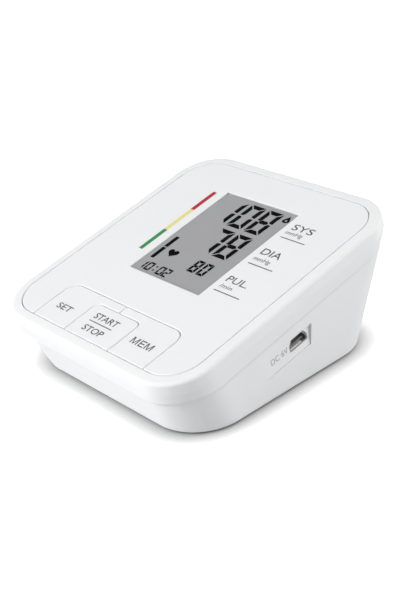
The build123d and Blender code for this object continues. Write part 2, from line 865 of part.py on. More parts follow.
with BuildPart() as power_tongue:
    extrude(port_shape(power_back_x + power_shell, -power_shell), amount=power_block_length)
    with BuildSketch(port_plane(tongue_start)):
        with Locations((0, power_tongue_up)):
            Rectangle(power_tongue_width, power_tongue_thick)
    extrude(amount=power_front_x - power_tongue_short - tongue_start)
power_tongue.part.label = "power_tongue"

with BuildPart() as power_board:
    with BuildSketch(port_plane(power_back_x)):
        with Locations((0, -power_height / 2)):
            Rectangle(power_board_width, power_board_thick, align=(Align.CENTER, Align.MAX))
    extrude(amount=power_board_length)
power_board.part.label = "power_board"

# Air pump: motor, diaphragm head with an outlet nipple, soft sleeve
with BuildPart() as pump_motor:
    with BuildSketch(Plane.XZ.offset(-motor_start)):
        with Locations((pump_x, pump_z)):
            Circle(motor_radius)
    extrude(amount=-motor_length)
    chamfer(pump_motor.edges().group_by(Axis.Y)[-1], length=motor_chamfer)
    with BuildSketch(Plane.XZ.offset(-motor_start - motor_length)):
        with Locations((pump_x, pump_z)):
            Circle(motor_cap_radius)
    extrude(amount=-motor_cap_length)
pump_motor.part.label = "pump_motor"

with BuildPart() as pump_head:
    with BuildSketch(Plane.XZ.offset(-pump_front_y)):
        with Locations((pump_x, pump_z)):
            RectangleRounded(
                pump_head_size - 2 * pump_plate_inset,
                pump_head_size - 2 * pump_plate_inset,
                pump_head_corner,
            )
    extrude(amount=-pump_head_length)
    for plate_y in (pump_front_y, motor_start - pump_plate_thick):
        with BuildSketch(Plane.XZ.offset(-plate_y)):
            with Locations((pump_x, pump_z)):
                RectangleRounded(pump_head_size, pump_head_size, pump_head_corner)
        extrude(amount=-pump_plate_thick)
    with BuildSketch(Plane.XZ.offset(-pump_front_y)):
        with Locations((tee_x, air_z)):
            Circle(nipple_radius)
    extrude(amount=nipple_length)
    with BuildSketch(Plane.XZ.offset(nipple_length - pump_front_y)):
        with Locations((tee_x, air_z)):
            Circle(bore_radius)
    extrude(amount=-2 * nipple_length, mode=Mode.SUBTRACT)
pump_head.part.label = "pump_head"

with BuildPart() as pump_sleeve:
    with BuildSketch(Plane.XZ.offset(-sleeve_start)):
        with Locations((pump_x, pump_z)):
            Circle(sleeve_radius)
            Circle(motor_radius + running_gap, mode=Mode.SUBTRACT)
    extrude(amount=-sleeve_length)
pump_sleeve.part.label = "pump_sleeve"

with BuildPart() as release_valve:
    with BuildSketch(Plane.XY.offset(valve_bottom)):
        with Locations((tee_x, valve_y)):
            Rectangle(valve_width, valve_length)
    extrude(amount=valve_height)
    chamfer(release_valve.edges().group_by(Axis.Z)[-1], length=valve_chamfer)
    with BuildSketch(Plane.XY.offset(valve_bottom + valve_height)):
        with Locations((tee_x, valve_y)):
            Circle(valve_cap_radius)
    extrude(amount=valve_cap_length)
    with BuildSketch(Plane.XZ.offset(-valve_back)):
        with Locations((tee_x, air_z)):
            Circle(nipple_radius)
    extrude(amount=-nipple_length)
    with BuildSketch(Plane.XZ.offset(-valve_back - nipple_length)):
        with Locations((tee_x, air_z)):
            Circle(bore_radius)
    extrude(amount=2 * nipple_length, mode=Mode.SUBTRACT)
release_valve.part.label = "release_valve"

# The tee's upper arm leans with the board, straight at the pressure sensor
tee_up = along_slope(air_y, air_z)
tee_level = above_face(air_y, air_z)
sensor_back = board_back + sensor_height
with BuildPart() as pressure_sensor:
    with BuildSketch(face.offset(-board_back)):
        with Locations((tee_x, tee_up)):
            Rectangle(sensor_size, sensor_size)
    extrude(amount=-sensor_height)
    with BuildSketch(face.offset(-sensor_back)):
        with Locations((tee_x, tee_up)):
            Circle(nipple_radius)
    extrude(amount=-sensor_port)
    with BuildSketch(face.offset(-sensor_back - sensor_port)):
        with Locations((tee_x, tee_up)):
            Circle(bore_radius)
    extrude(amount=2 * sensor_port, mode=Mode.SUBTRACT)
pressure_sensor.part.label = "pressure_sensor"

arm_reach = tee_size / 2 + nipple_length
with BuildPart() as air_tee:
    with Locations((tee_x, air_y, air_z)):
        Box(tee_size, tee_size, tee_size)
    for radius, arm_mode in ((nipple_radius, Mode.ADD), (bore_radius, Mode.SUBTRACT)):
        with BuildSketch(Plane.YZ.offset(tee_x - arm_reach)):
            with Locations((air_y, air_z)):
                Circle(radius)
        extrude(amount=arm_reach, mode=arm_mode)
        with BuildSketch(Plane.XZ.offset(arm_reach - air_y)):
            with Locations((tee_x, air_z)):
                Circle(radius)
        extrude(amount=-2 * arm_reach, mode=arm_mode)
        with BuildSketch(face.offset(tee_level)):
            with Locations((tee_x, tee_up)):
                Circle(radius)
        extrude(amount=arm_reach, mode=arm_mode)
air_tee.part.label = "air_tee"

# Air socket in the left wall, turned about its own axis, with its nut
with BuildPart() as air_socket:
    with BuildSketch(Plane(origin=(0, air_y, air_z), x_dir=(1, 0, 0), z_dir=(0, -1, 0))):
        with BuildLine():
            Polyline(
                (socket_x, socket_bore + socket_lead),
                (socket_x, socket_collar_radius),
                (socket_x + socket_collar_thick, socket_collar_radius),
                (socket_x + socket_collar_thick, socket_body_radius),
                (socket_end_x, socket_body_radius),
                (socket_end_x, nipple_radius),
                (socket_end_x + nipple_length, nipple_radius),
                (socket_end_x + nipple_length, bore_radius),
                (socket_x + socket_bore_depth, bore_radius),
                (socket_x + socket_bore_depth, socket_bore),
                (socket_x + socket_lead, socket_bore),
                close=True,
            )
        make_face()
    revolve(axis=Axis((0, air_y, air_z), (1, 0, 0)))
air_socket.part.label = "air_socket"

with BuildPart() as air_socket_nut:
    with BuildSketch(Plane.YZ.offset(socket_boss_x)):
        with Locations((air_y, air_z)):
            RegularPolygon(socket_nut_radius, 6)
            Circle(socket_body_radius + running_gap, mode=Mode.SUBTRACT)
    extrude(amount=socket_nut_thick)
air_socket_nut.part.label = "air_socket_nut"

# Silicone tubes, each pushed over two nipples
with BuildPart() as socket_tube:
    with BuildSketch(Plane.YZ.offset(socket_end_x + tube_seat)):
        with Locations((air_y, air_z)):
            Circle(tube_outer)
            Circle(nipple_radius + running_gap, mode=Mode.SUBTRACT)
    extrude(amount=tee_left - socket_end_x - 2 * tube_seat)
socket_tube.part.label = "socket_tube"

tubes = []
for name, front_y, back_y in (("valve", valve_back, tee_front), ("pump", air_y + tee_size / 2, pump_front_y)):
    with BuildPart() as tube:
        with BuildSketch(Plane.XZ.offset(-front_y - tube_seat)):
            with Locations((tee_x, air_z)):
                Circle(tube_outer)
                Circle(nipple_radius + running_gap, mode=Mode.SUBTRACT)
        extrude(amount=front_y - back_y + 2 * tube_seat)
    tube.part.label = name + "_tube"
    tubes.append(tube)

sensor_tube_start = tee_level + tee_size / 2 + tube_outer * slope_tan + tube_seat
with BuildPart() as sensor_tube:
    with BuildSketch(face.offset(sensor_tube_start)):
        with Locations((tee_x, tee_up)):
            Circle(tube_outer)
            Circle(nipple_radius + running_gap, mode=Mode.SUBTRACT)
    extrude(amount=-sensor_back - tube_seat - sensor_tube_start)
sensor_tube.part.label = "sensor_tube"

# Battery door: hinge tabs at the back, a grip tongue between two slots at the front
door_front_y = bay_front - door_ledge + door_gap
with BuildPart() as battery_door:
    with BuildSketch(Plane.XY.offset(foot_stand)):
        with Locations((bay_x, bay_y)):
            Rectangle(bay_length + 2 * (door_ledge - door_gap), bay_width + 2 * (door_ledge - door_gap))
        slot_x = (door_tongue_width + door_slot_width) / 2
        with Locations((bay_x - slot_x, door_front_y), (bay_x + slot_x, door_front_y)):
            SlotCenterToCenter(2 * door_slot_length, door_slot_width, rotation=90, mode=Mode.SUBTRACT)
    extrude(amount=door_thick)
    with BuildSketch(Plane.XY.offset(foot_stand + door_thick)):
        with Locations((bay_x - door_tab_x, door_edge_y), (bay_x + door_tab_x, door_edge_y)):
            Rectangle(door_tab_width, 2 * door_tab_reach)
    extrude(amount=-door_tab_thick)
    with BuildSketch(Plane.XY.offset(foot_stand)):
        with Locations((bay_x, door_front_y + door_slot_length / 2)):
            with GridLocations(door_tongue_width, door_rib_spacing, 1, door_rib_count):
                SlotOverall(door_tongue_width - 2 * door_slot_width, door_rib_width)
    extrude(amount=-door_rib_proud)
battery_door.part.label = "battery_door"

# Batteries, turned end for end in alternate rows
battery_start = bay_left + contact_room
battery_rows = [bay_y + (row - (cell_count - 1) / 2) * battery_spacing for row in range(cell_count)]
batteries = []
for row, row_y in enumerate(battery_rows):
    turned = row % 2
    body_start = battery_start + turned * battery_nub
    nub_start = battery_start if turned else body_start + battery_body
    with BuildPart() as battery:
        with BuildSketch(Plane.YZ.offset(body_start)):
            with Locations((row_y, battery_z)):
                Circle(battery_radius)
        extrude(amount=battery_body)
        chamfer(battery.edges().filter_by(GeomType.CIRCLE), length=battery_chamfer)
        with BuildSketch(Plane.YZ.offset(nub_start)):
            with Locations((row_y, battery_z)):
                Circle(battery_nub_radius)
        extrude(amount=battery_nub)
    battery.part.label = "battery_" + str(row + 1)
    batteries.append(battery)

# Contact springs: plates on the end walls with an arched leaf for every battery
contacts = []
for name, side, groups in (("left", -1, ((0, 1), (2, 3))), ("right", 1, ((0,), (1, 2), (3,)))):
    plate_x = bay_x + side * (bay_length - contact_thick) / 2
    plate_face = bay_x + side * (bay_length / 2 - contact_thick)
    tip_x = bay_x + side * (bay_length / 2 - contact_room)
    with BuildPart() as contact:
        for group in groups:
            with BuildSketch(Plane.XY.offset(battery_z - contact_height / 2)):
                first_y = battery_rows[group[0]]
                last_y = battery_rows[group[-1]]
                with Locations((plate_x, (first_y + last_y) / 2)):
                    Rectangle(contact_thick, last_y - first_y + contact_plate_width)
                for row in group:
                    row_y = battery_rows[row]
                    with BuildLine():
                        outer = ThreePointArc(
                            (plate_face, row_y - leaf_reach), (tip_x, row_y), (plate_face, row_y + leaf_reach)
                        )
                        inner = ThreePointArc(
                            (plate_face, row_y + leaf_reach - contact_thick),
                            (tip_x + side * contact_thick, row_y),
                            (plate_face, row_y - leaf_reach + contact_thick),
                        )
                        Line(outer @ 1, inner @ 0)
                        Line(inner @ 1, outer @ 0)
                    make_face()
            extrude(amount=contact_height)
    contact.part.label = "contacts_" + name
    contacts.append(contact)

with BuildPart() as case_screws:
    for x, y in post_rows:
        seat = height_at(y, -seam_depth) - screw_grip
        with BuildSketch(Plane.XY.offset(seat)):
            with Locations((-x, y), (x, y)):
                Circle(screw_head_radius)
        extrude(amount=-screw_head_thick)
        with BuildSketch(Plane.XY.offset(seat)):
            with Locations((-x, y), (x, y)):
                Circle(screw_radius)
        extrude(amount=screw_grip + screw_bite)
case_screws.part.label = "case_screws"

feet = []
for name, side, end in (
    ("front_left", -1, -1),
    ("front_right", 1, -1),
    ("rear_left", -1, 1),
    ("rear_right", 1, 1),
):
    with BuildPart() as foot:
        with BuildSketch(Plane.XY):
            foot_y = base_y + end * (base_length / 2 - foot_inset)
            with Locations((side * (base_width / 2 - foot_side), foot_y)):
                SlotOverall(foot_length, foot_width)
        extrude(amount=foot_stand + foot_sink)
        chamfer(foot.edges().group_by(Axis.Z)[0], length=foot_chamfer)
    foot.part.label = name + "_foot"
    feet.append(foot)

os.makedirs("parts", exist_ok=True)
for piece in [
    top_case,
    bottom_case,
    face_panel,
    display_window,
    display_cell,
    display_tray,
    zebra_strip,
    set_key,
    start_stop_key,
    mem_key,
    *switches,
    main_board,
    board_screws,
    processor,
    buzzer,
    power_socket,
    power_tongue,
    power_board,
    pump_motor,
    pump_head,
    pump_sleeve,
    release_valve,
    pressure_sensor,
    air_tee,
    air_socket,
    air_socket_nut,
    socket_tube,
    *tubes,
    sensor_tube,
    battery_door,
    *batteries,
    *contacts,
    case_screws,
    *feet,
]:
    export_step(piece.part, "parts/" + piece.part.label + ".step")
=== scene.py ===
import math

import bmesh
import bpy
import numpy as np
from mathutils import Matrix, Vector


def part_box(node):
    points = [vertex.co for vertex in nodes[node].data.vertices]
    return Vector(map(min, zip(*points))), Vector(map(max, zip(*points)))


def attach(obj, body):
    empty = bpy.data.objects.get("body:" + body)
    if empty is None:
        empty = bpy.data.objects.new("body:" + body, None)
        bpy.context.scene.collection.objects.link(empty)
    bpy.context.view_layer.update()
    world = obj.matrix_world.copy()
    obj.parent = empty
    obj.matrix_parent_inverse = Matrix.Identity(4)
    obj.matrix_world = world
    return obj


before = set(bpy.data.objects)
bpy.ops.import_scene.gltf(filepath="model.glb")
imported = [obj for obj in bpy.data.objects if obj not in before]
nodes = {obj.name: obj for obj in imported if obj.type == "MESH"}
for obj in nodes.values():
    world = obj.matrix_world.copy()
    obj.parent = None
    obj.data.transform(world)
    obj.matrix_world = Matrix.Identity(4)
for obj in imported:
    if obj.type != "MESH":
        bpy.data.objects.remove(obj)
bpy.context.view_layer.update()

scene = bpy.context.scene
mm = 0.001
white = (1.0, 1.0, 1.0, 1.0)

# camera: its place in metres and the directions of its own three axes
cameraSetup = {
    "place": (0.3270, -0.2625, 0.2415),
    "right": (0.66588, 0.73830, -0.10735),
    "up": (-0.28344, 0.38344, 0.87899),
    "back": (0.69012, -0.55488, 0.46459),
    "lens": 69.14,
    "sensor": 36.0,
    "clip": (0.01, 50.0),
}


def addCamera(setup):
    # Its three directions are the columns of its turn, and a shift then takes it to its place
    data = bpy.data.cameras.new("camera")
    data.lens = setup["lens"]
    data.sensor_width = setup["sensor"]
    data.sensor_fit = "AUTO"
    data.clip_start, data.clip_end = setup["clip"]
    camera = bpy.data.objects.new("camera", data)
    turn = Matrix((setup["right"], setup["up"], setup["back"])).transposed()
    camera.matrix_world = Matrix.Translation(setup["place"]) @ turn.to_4x4()
    scene.collection.objects.link(camera)
    scene.camera = camera


addCamera(cameraSetup)
print("camera placed")

# the sloping face: x to the right and s up the slope from its middle, level square out of it, all in mm
face = {"slope": math.radians(12.1), "y": -0.87, "z": 41.885}
sinSlope, cosSlope = math.sin(face["slope"]), math.cos(face["slope"])
markOrigin = (-0.3, -16.9)  # x and s of the marks' zero, near the middle of the display's lower edge


def asRows(points, level):
    # Flat points as rows of two, and one level for each row
    points = np.atleast_2d(np.asarray(points, float))
    return points, np.broadcast_to(np.asarray(level, float), len(points))


def onFace(points, level):
    # s runs back by its cosine and up by its sine, and level stands square to it
    points, level = asRows(points, level)
    s = points[:, 1]
    y = face["y"] + s * cosSlope - level * sinSlope
    z = face["z"] + s * sinSlope + level * cosSlope
    return np.column_stack((points[:, 0], y, z)) * mm


def onPanel(points, level):
    # Mark coordinates moved to the mark origin, then carried onto the face
    return onFace(np.atleast_2d(points) + np.array(markOrigin), level)


def onWall(origin, along, up):
    # The origin plus the first number along, the second up and the level along the normal of both
    along = Vector(along).normalized()
    normal = along.cross(Vector(up)).normalized()
    axes = np.array((along, normal.cross(along), normal))
    base = np.array(origin)

    def place(points, level):
        # One row of three for each point, turned by the three directions
        return base + np.column_stack(asRows(points, level)) * mm @ axes

    return place


# shader helpers
noiseSpan = (0.3, 0.7)  # nearly all values of a noise lie between these


def addNode(tree, kind, settings=None, links=None):
    # One node, its settings by property or input name, its links as input name to output socket
    node = tree.nodes.new(kind)
    for key, value in (settings or {}).items():
        if isinstance(key, str) and hasattr(node, key):
            setattr(node, key, value)
        else:
            node.inputs[key].default_value = value
    for key, socket in (links or {}).items():
        tree.links.new(socket, node.inputs[key])
    return node


def feed(tree, socket, value):
    # A node's output is linked, a colour gets its fourth number, and a plain number is set as it is
    if isinstance(value, bpy.types.NodeSocket):
        tree.links.new(value, socket)
    else:
        socket.default_value = (*value, 1.0) if isinstance(value, tuple) else value


def blend(tree, factor, first, second):
    # Mixes two colours: the first where the factor is 0, the second where it is 1
    node = addNode(tree, "ShaderNodeMix", {"data_type": "RGBA"})
    for index, value in ((0, factor), (6, first), (7, second)):
        feed(tree, node.inputs[index], value)
    return node.outputs[2]


def combine(tree, operation, values, clamp=False):
    # One sum on its values in turn, each of them a number or the output of a node
    node = addNode(tree, "ShaderNodeMath", {"operation": operation, "use_clamp": clamp})
    for index, value in enumerate(values):
        feed(tree, node.inputs[index], value)
    return node.outputs[0]


def rescale(tree, value, old, new=(0.0, 1.0)):
    # Carries a value from the old range to the new one in a straight line, held at both ends
    ends = {"From Min": old[0], "From Max": old[1], "To Min": new[0], "To Max": new[1]}
    return addNode(tree, "ShaderNodeMapRange", ends, {"Value": value}).outputs[0]


def objectPlace(tree):
    # Each point's place in the coordinates of its own object
    return addNode(tree, "ShaderNodeTexCoord").outputs["Object"]


def useGroup(tree, group, values):
    # A shared group, placed in a tree with its own values
    return addNode(tree, "ShaderNodeGroup", {"node_tree": group, **values})


def setInputs(shader, values):
    # Fixed values, straight on the shader's inputs
    for label, value in values.items():
        shader.inputs[label].default_value = value


def setRoughness(tree, shader, tone, ends):
    # Roughness wanders between its two ends with a noise
    tree.links.new(rescale(tree, tone, noiseSpan, ends), shader.inputs["Roughness"])


def setRelief(tree, shader, strength, depth, links):
    # Relief from a height, its depth in mm, on top of a softened normal where one is linked
    bump = addNode(tree, "ShaderNodeBump", {"Strength": strength, "Distance": depth * mm}, links)
    tree.links.new(bump.outputs["Normal"], shader.inputs["Normal"])


# shared effects
grainForm = {"fine": {"Detail": 3.0, "Roughness": 0.6}, "broad": {"Detail": 4.0, "Roughness": 0.55},
             "share": 0.02}
edgeForm = {"samples": 4, "turn": (0.995, 0.85), "patches": {"Scale": 220.0, "Detail": 4.0}}
dustForm = {"upright": (0.2, 1.0), "patches": {"Scale": 60.0, "Detail": 6.0, "Roughness": 0.7}}


def newGroup(name, inputs, outputs):
    # An empty group with its sockets, each input at its starting value
    group = bpy.data.node_groups.new(name, "ShaderNodeTree")
    for label, value in inputs.items():
        socket = group.interface.new_socket(label, in_out="INPUT", socket_type="NodeSocketFloat")
        socket.default_value = value
    for label, kind in outputs.items():
        group.interface.new_socket(label, in_out="OUTPUT", socket_type=kind)
    return group, group.nodes.new("NodeGroupInput").outputs, group.nodes.new("NodeGroupOutput").inputs


def buildGrainGroup(form):
    # Spark-eroded mould finish: a fine noise, plus a share of a broad one whose scale is a part of its own
    group, source, result = newGroup("mouldGrain", {"Scale": 4000.0, "Coarse": 0.4},
                                     {"Height": "NodeSocketFloat", "Tone": "NodeSocketFloat"})
    place = objectPlace(group)
    slow = combine(group, "MULTIPLY", (source["Scale"], form["share"]))
    fine, broad = (
        addNode(group, "ShaderNodeTexNoise", form[part], {"Vector": place, "Scale": scale}).outputs[0]
        for part, scale in (("fine", source["Scale"]), ("broad", slow))
    )
    group.links.new(combine(group, "MULTIPLY_ADD", (broad, source["Coarse"], fine)), result["Height"])
    group.links.new(broad, result["Tone"])
    return group


def buildEdgeGroup(form):
    # Rounds sharp edges in the normal, and finds them by how far the rounded normal turns away
    group, source, result = newGroup("softEdge", {"Radius": 0.0003, "Wear": 0.5},
                                     {"Normal": "NodeSocketVector", "Mask": "NodeSocketFloat"})
    bevel = addNode(group, "ShaderNodeBevel", {"samples": form["samples"]}, {"Radius": source["Radius"]})
    flat = addNode(group, "ShaderNodeNewGeometry")
    match = addNode(group, "ShaderNodeVectorMath", {"operation": "DOT_PRODUCT"},
                    {0: bevel.outputs["Normal"], 1: flat.outputs["Normal"]})
    turned = rescale(group, match.outputs["Value"], form["turn"])
    patch = addNode(group, "ShaderNodeTexNoise", form["patches"], {"Vector": objectPlace(group)})
    worn = combine(group, "MULTIPLY", (turned, patch.outputs[0]))
    group.links.new(bevel.outputs["Normal"], result["Normal"])
    group.links.new(combine(group, "MULTIPLY", (worn, source["Wear"]), clamp=True), result["Mask"])
    return group


def buildDustGroup(form):
    # A thin film that gathers on surfaces that face up, in soft patches
    group, source, result = newGroup("dustFilm", {"Amount": 0.2}, {"Mask": "NodeSocketFloat"})
    flat = addNode(group, "ShaderNodeNewGeometry")
    parts = addNode(group, "ShaderNodeSeparateXYZ", None, {0: flat.outputs["Normal"]})
    upward = rescale(group, parts.outputs["Z"], form["upright"])
    patch = addNode(group, "ShaderNodeTexNoise", form["patches"], {"Vector": objectPlace(group)})
    spread = combine(group, "MULTIPLY", (upward, patch.outputs[0]))
    group.links.new(combine(group, "MULTIPLY", (spread, source["Amount"]), clamp=True), result["Mask"])
    return group


grainGroup = buildGrainGroup(grainForm)
edgeGroup = buildEdgeGroup(edgeForm)
dustGroup = buildDustGroup(dustForm)
print("shared shader groups built")


def startMaterial(name):
    # A new material with its tree and its Principled shader
    material = bpy.data.materials.new(name)
    material.use_nodes = True
    tree = material.node_tree
    return material, tree, tree.nodes["Principled BSDF"]


# moulded pieces: edge and depth in mm, and tone is the share that the darker patches keep of the colour
mouldedUsual = {"tone": 0.985, "coarse": 0.4, "relief": 0.2, "depth": 0.02, "edge": 0.25, "wear": 0.4,
                "dust": 0.05, "specular": 0.5, "subsurface": 0.0}
mouldedBody = {"IOR": 1.46, "Subsurface Radius": (0.001, 0.001, 0.001), "Subsurface Scale": 1.0}
dustColour = (0.62, 0.60, 0.56)
moulded = {
    "caseShell": {"colour": (0.835, 0.84, 0.845), "tone": 0.992, "roughness": (0.42, 0.50), "grain": 5200.0,
                  "relief": 0.16, "edge": 0.3, "wear": 0.25, "wornColour": (0.88, 0.88, 0.88), "dust": 0.008,
                  "subsurface": 0.3, "specular": 0.15},
    "panelGloss": {"colour": (0.858, 0.866, 0.880), "tone": 0.994, "roughness": (0.28, 0.33), "grain": 2600.0,
                   "relief": 0.06, "depth": 0.01, "wear": 0.2, "wornColour": (0.9, 0.9, 0.9), "dust": 0.005,
                   "subsurface": 0.3},
    "keyCap": {"colour": (0.855, 0.863, 0.877), "tone": 0.992, "roughness": (0.34, 0.42), "grain": 4600.0,
               "relief": 0.12, "depth": 0.015, "wear": 0.3, "wornColour": (0.88, 0.88, 0.88), "dust": 0.006,
               "subsurface": 0.3},
    "trayShell": {"colour": (0.72, 0.72, 0.70), "roughness": (0.45, 0.6), "grain": 3200.0},
    "zebraRubber": {"colour": (0.40, 0.36, 0.34), "roughness": (0.6, 0.75), "grain": 2400.0, "coarse": 0.8},
    "tongueBody": {"colour": (0.17, 0.17, 0.175), "roughness": (0.5, 0.65), "grain": 3800.0, "edge": 0.1},
    "darkBody": {"colour": (0.028, 0.028, 0.032), "roughness": (0.4, 0.6), "grain": 3800.0, "wear": 0.5,
                 "wornColour": (0.10, 0.10, 0.10), "edge": 0.15},
    "plungerBody": {"colour": (0.10, 0.10, 0.10), "roughness": (0.35, 0.5), "grain": 3800.0, "edge": 0.12},
    "pumpBody": {"colour": (0.07, 0.07, 0.075), "roughness": (0.4, 0.55), "grain": 3000.0, "edge": 0.3},
    "sleeveRubber": {"colour": (0.045, 0.045, 0.045), "roughness": (0.7, 0.85), "grain": 1800.0,
                     "coarse": 0.9, "relief": 0.4, "depth": 0.04},
    "tubeSilicone": {"colour": (0.68, 0.69, 0.66), "roughness": (0.3, 0.42), "grain": 1500.0, "coarse": 0.8,
                     "subsurface": 0.3},
    "fittingBody": {"colour": (0.76, 0.76, 0.75), "roughness": (0.35, 0.5), "grain": 3600.0, "edge": 0.15},
    "socketBody": {"colour": (0.60, 0.61, 0.62), "roughness": (0.35, 0.48), "grain": 3600.0, "edge": 0.15},
    "footRubber": {"colour": (0.16, 0.16, 0.165), "roughness": (0.72, 0.88), "grain": 2600.0, "coarse": 0.9,
                   "relief": 0.4, "depth": 0.04, "dust": 0.2},
}


def mouldedMaterial(name, own):
    # Plastic or rubber out of a mould: colour, roughness and relief vary a little, edges are softened
    finish = {**mouldedUsual, "wornColour": own["colour"], **own}
    material, tree, shader = startMaterial(name)
    grain = useGroup(tree, grainGroup, {"Scale": finish["grain"], "Coarse": finish["coarse"]}).outputs
    edge = useGroup(tree, edgeGroup, {"Radius": finish["edge"] * mm, "Wear": finish["wear"]}).outputs
    dust = useGroup(tree, dustGroup, {"Amount": finish["dust"]}).outputs
    deeper = tuple(part * finish["tone"] for part in finish["colour"])
    base = blend(tree, grain["Tone"], deeper, finish["colour"])
    worn = blend(tree, edge["Mask"], base, finish["wornColour"])
    tree.links.new(blend(tree, dust["Mask"], worn, dustColour), shader.inputs["Base Color"])
    setRoughness(tree, shader, grain["Tone"], finish["roughness"])
    setRelief(tree, shader, finish["relief"], finish["depth"],
              {"Height": grain["Height"], "Normal": edge["Normal"]})
    setInputs(shader, {"Specular IOR Level": finish["specular"], "Subsurface Weight": finish["subsurface"],
                       **mouldedBody})
    return material


# metal pieces: stretch draws the streaks out along an axis, and edge and depth are in mm
metalUsual = {"edge": 0.12, "wear": 0.8, "bright": (0.85, 0.85, 0.84), "relief": 0.15, "depth": 0.01,
              "detail": 4.0, "metallic": 1.0}
metals = {
    "screwSteel": {"colour": (0.62, 0.61, 0.59), "dull": (0.42, 0.42, 0.41), "stretch": (1.0, 1.0, 8.0),
                   "grain": 700.0, "roughness": (0.22, 0.4)},
    "motorSteel": {"colour": (0.58, 0.58, 0.57), "dull": (0.4, 0.4, 0.4), "stretch": (1.0, 10.0, 1.0),
                   "grain": 400.0, "roughness": (0.28, 0.45)},
    "valveSteel": {"colour": (0.55, 0.55, 0.56), "dull": (0.38, 0.38, 0.4), "stretch": (1.0, 8.0, 1.0),
                   "grain": 500.0, "roughness": (0.28, 0.45)},
    # painted highlight: bright and not metallic, for the shine along the power socket's lower inner edge
    "paintedHighlightSteel": {"colour": (0.82, 0.82, 0.80), "dull": (0.76, 0.76, 0.75), "stretch": (1.0, 6.0, 1.0),
                    "grain": 500.0, "roughness": (0.4, 0.5), "metallic": 0.0},
    "contactSteel": {"colour": (0.7, 0.69, 0.66), "dull": (0.5, 0.5, 0.48), "stretch": (1.0, 1.0, 9.0),
                     "grain": 800.0, "roughness": (0.18, 0.34)},
}


def metalMaterial(name, own):
    # Plated or drawn metal: streaks along one axis, dull patches, bright worn edges
    finish = {**metalUsual, **own}
    material, tree, shader = startMaterial(name)
    stretch = addNode(tree, "ShaderNodeMapping", {"Scale": finish["stretch"]}, {"Vector": objectPlace(tree)})
    streak = addNode(tree, "ShaderNodeTexNoise", {"Scale": finish["grain"], "Detail": finish["detail"]},
                     {"Vector": stretch.outputs[0]}).outputs[0]
    edge = useGroup(tree, edgeGroup, {"Radius": finish["edge"] * mm, "Wear": finish["wear"]}).outputs
    colour = blend(tree, streak, finish["dull"], finish["colour"])
    tree.links.new(blend(tree, edge["Mask"], colour, finish["bright"]), shader.inputs["Base Color"])
    setRoughness(tree, shader, streak, finish["roughness"])
    setRelief(tree, shader, finish["relief"], finish["depth"], {"Height": streak, "Normal": edge["Normal"]})
    setInputs(shader, {"Metallic": finish["metallic"]})
    return material


finishes = {name: mouldedMaterial(name, finish) for name, finish in moulded.items()}
finishes.update({name: metalMaterial(name, finish) for name, finish in metals.items()})

lens = {"grain": {"Scale": 900.0, "Coarse": 0.6}, "roughness": (0.04, 0.09), "relief": 0.03, "depth": 0.01,
        "inputs": {"Base Color": (0.02, 0.02, 0.02, 1.0), "Alpha": 0.08, "IOR": 1.49}}


def windowMaterial(finish):
    # Clear acrylic, shown as a thin polished film so that the cell below keeps its tone
    material, tree, shader = startMaterial("windowLens")
    tone = useGroup(tree, grainGroup, finish["grain"]).outputs["Tone"]
    setRoughness(tree, shader, tone, finish["roughness"])
    setRelief(tree, shader, finish["relief"], finish["depth"], {"Height": tone})
    setInputs(shader, finish["inputs"])
    return material


crystal = {"grain": {"Scale": 7000.0, "Coarse": 0.2}, "shade": (0.471, 0.472, 0.485),
           "light": (0.508, 0.509, 0.522), "roughness": (0.42, 0.5), "specular": 0.2}


def cellMaterial(finish):
    # Reflective liquid crystal: an even grey with a faint grain of the polariser
    material, tree, shader = startMaterial("crystalGrey")
    grain = useGroup(tree, grainGroup, finish["grain"]).outputs
    grey = blend(tree, grain["Height"], finish["shade"], finish["light"])
    tree.links.new(grey, shader.inputs["Base Color"])
    setRoughness(tree, shader, grain["Tone"], finish["roughness"])
    setInputs(shader, {"Specular IOR Level": finish["specular"]})
    return material


board = {"grain": {"Scale": 1500.0, "Coarse": 0.5},
         "tracks": {"Scale": 90.0, "Mortar Size": 0.05, "Mortar Smooth": 0.3},
         "mask": (0.018, 0.13, 0.05), "track": (0.05, 0.24, 0.09), "roughness": (0.25, 0.4),
         "relief": 0.3, "depth": 0.035}


def boardMaterial(finish):
    # Solder mask, lighter and raised over copper tracks that run like the joints of a brick wall
    material, tree, shader = startMaterial("solderMask")
    joints = addNode(tree, "ShaderNodeTexBrick", finish["tracks"], {"Vector": objectPlace(tree)})
    tracks = joints.outputs["Fac"]
    tree.links.new(blend(tree, tracks, finish["mask"], finish["track"]), shader.inputs["Base Color"])
    grain = useGroup(tree, grainGroup, finish["grain"])
    setRoughness(tree, shader, grain.outputs["Tone"], finish["roughness"])
    setRelief(tree, shader, finish["relief"], finish["depth"], {"Height": tracks})
    return material


wrap = {"grain": {"Scale": 900.0, "Coarse": 0.7}, "roughness": (0.2, 0.34), "metallic": 0.35,
        "bands": ((0.0, (0.62, 0.62, 0.60)), (0.035, (0.05, 0.05, 0.055)), (0.30, (0.04, 0.22, 0.12)),
                  (0.70, (0.05, 0.05, 0.055)), (0.965, (0.62, 0.62, 0.60)))}


